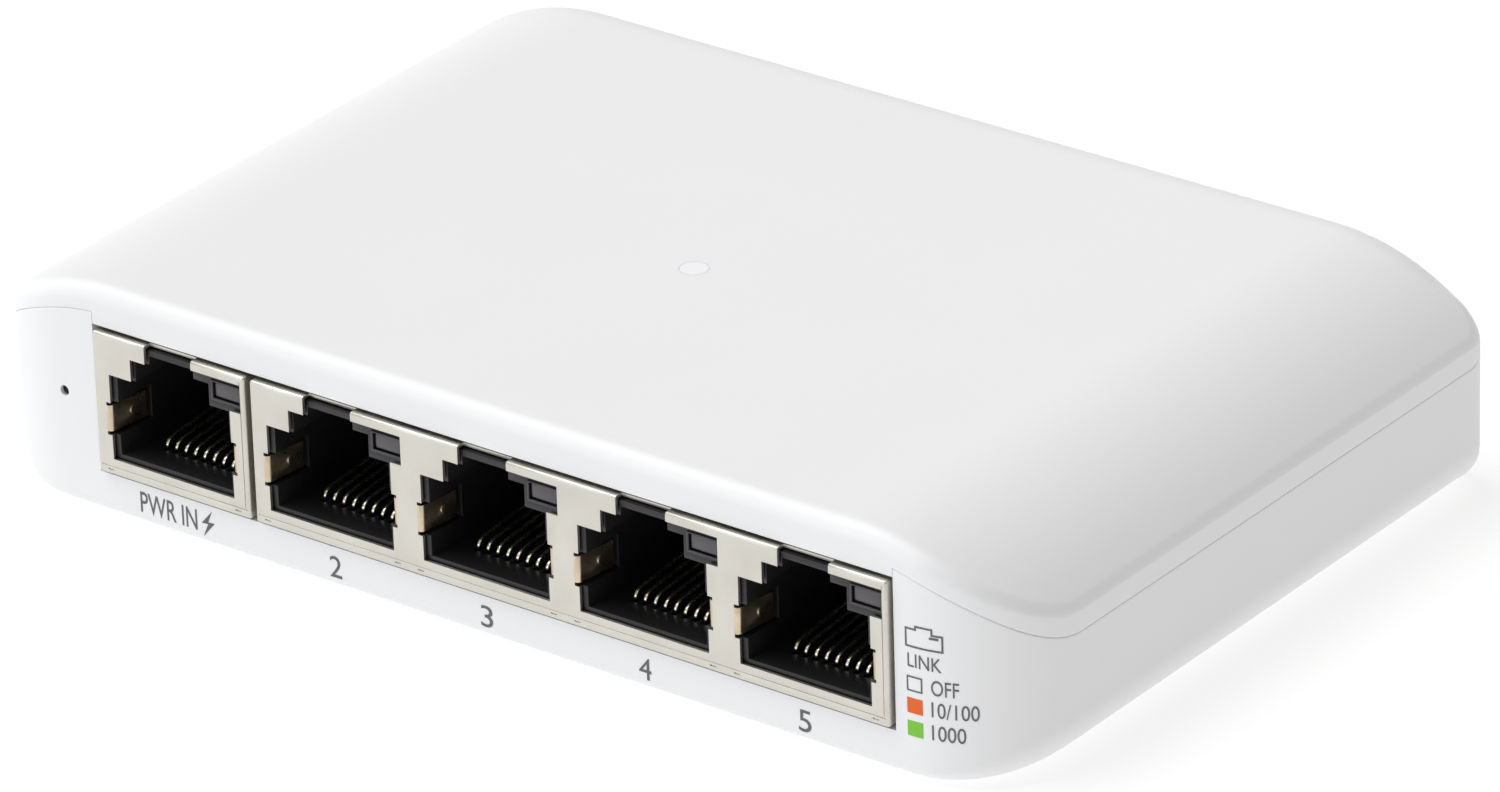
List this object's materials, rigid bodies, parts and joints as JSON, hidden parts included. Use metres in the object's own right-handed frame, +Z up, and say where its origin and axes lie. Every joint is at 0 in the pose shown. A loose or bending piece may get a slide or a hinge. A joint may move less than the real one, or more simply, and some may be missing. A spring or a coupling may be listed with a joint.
{
  "type": "desktop network switch",
  "caption": "Low white desktop network switch with a row of shielded RJ45 ports and a pinhole reset along its front and rounded shoulders at both ends.",
  "frame": {"origin": "on the surface the feet stand on, below the centre of the switch", "axes": "+X along the front from left to right, ports face -Y, +Z up"},
  "size_m": [0.1072, 0.0706, 0.0212],
  "materials": {
    "white_plastic": "fine satin moulding",
    "black_plastic": "satin black moulding",
    "nickel_sheet": "nickel-plated sheet",
    "gold_contact": "gold-plated spring wire",
    "lens_plastic": "unlit translucent lens",
    "light_plastic": "milky light pipe",
    "board_laminate": "green solder mask",
    "chip_resin": "moulded resin",
    "steel": "plated steel",
    "aluminium": "satin aluminium",
    "ferrite": "sintered grey-black",
    "rubber": "soft grey rubber"
  },
  "bodies": {
    "case": {"base_case": "white_plastic", "board_screw_left": "steel", "board_screw_right": "steel", "bulk_capacitor_left": "aluminium", "bulk_capacitor_right": "aluminium", "case_screw_left": "steel", "case_screw_right": "steel", "circuit_board": "board_laminate", "crystal": "steel", "flash_chip": "chip_resin", "heat_sink": "aluminium", "port_1_contacts": "gold_contact", "port_1_housing": "black_plastic", "port_1_light": "lens_plastic", "port_1_magnetics": "chip_resin", "port_1_shield": "nickel_sheet", "port_2_contacts": "gold_contact", "port_2_light": "lens_plastic", "port_2_magnetics": "chip_resin", "port_3_contacts": "gold_contact", "port_3_light": "lens_plastic", "port_3_magnetics": "chip_resin", "port_4_contacts": "gold_contact", "port_4_light": "lens_plastic", "port_4_magnetics": "chip_resin", "port_5_contacts": "gold_contact", "port_5_light": "lens_plastic", "port_5_magnetics": "chip_resin", "ports_2_to_5_housing": "black_plastic", "ports_2_to_5_shield": "nickel_sheet", "power_chip": "chip_resin", "power_inductor": "ferrite", "power_inlet_shell": "steel", "power_inlet_tongue": "black_plastic", "power_transformer": "ferrite", "reset_switch_body": "black_plastic", "rubber_foot_front_left": "rubber", "rubber_foot_front_right": "rubber", "rubber_foot_rear_left": "rubber", "rubber_foot_rear_right": "rubber", "status_led": "light_plastic", "status_light_pipe": "light_plastic", "switch_chip": "chip_resin", "top_cover": "white_plastic"},
    "reset_button": {"reset_plunger": "steel"}
  },
  "joints": [
    {"name": "reset_press", "type": "slide", "parent": "case", "child": "reset_button", "axis": [0, 1, 0], "range_m": [0, 0.0003], "stiffness_N_per_m": 3000}
  ]
}
